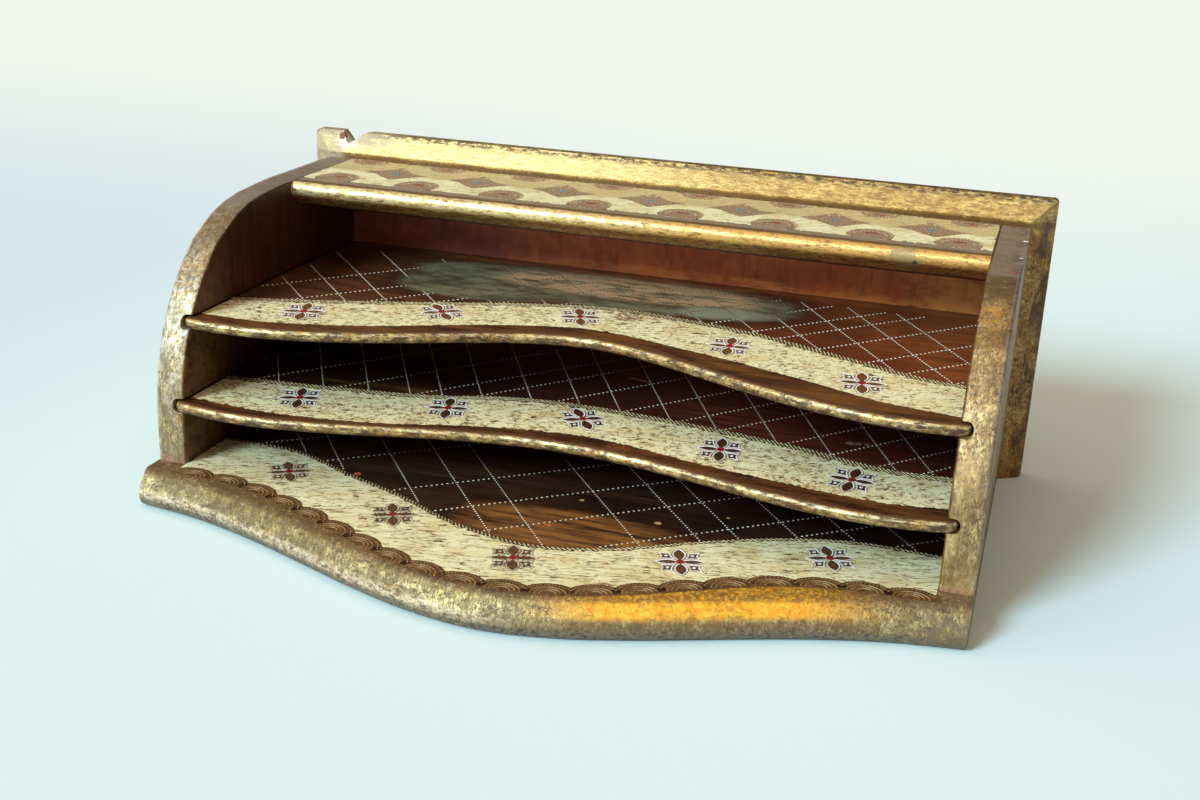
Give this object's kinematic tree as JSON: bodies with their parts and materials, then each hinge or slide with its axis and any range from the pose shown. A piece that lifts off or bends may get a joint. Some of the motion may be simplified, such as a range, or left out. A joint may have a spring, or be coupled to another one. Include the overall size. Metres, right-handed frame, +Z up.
{
  "type": "desk letter holder",
  "caption": "Gilded wooden desk rack with open fronts: curved sides, a wavy base and thin wavy shelves in grooves keep letters in tiers.",
  "frame": {"origin": "on the table, under the middle of the footprint of the base and the back board", "axes": "+X to the right as seen from the front, +Y from the front to the back, +Z up"},
  "size_m": [0.318, 0.2126, 0.1158],
  "materials": {
    "gilded_wood": "worn gold leaf over red bole and gesso",
    "lacquered_shelf": "dark lacquer with a painted cream band and a gilded edge",
    "nail_wire": "dull drawn wire"
  },
  "bodies": {
    "case": {"base_board": "gilded_wood", "left_side": "gilded_wood", "right_side": "gilded_wood", "back_board": "gilded_wood", "top_board": "gilded_wood", "base_nails": "nail_wire", "back_nails": "nail_wire", "top_nails": "nail_wire"},
    "upper_shelf": {"upper_shelf": "lacquered_shelf"},
    "lower_shelf": {"lower_shelf": "lacquered_shelf"}
  },
  "joints": [
    {"name": "upper_shelf_slide", "type": "slide", "parent": "case", "child": "upper_shelf", "axis": [0, -1, 0], "range_m": [0, 0.134]},
    {"name": "lower_shelf_slide", "type": "slide", "parent": "case", "child": "lower_shelf", "axis": [0, -1, 0], "range_m": [0, 0.142]}
  ]
}
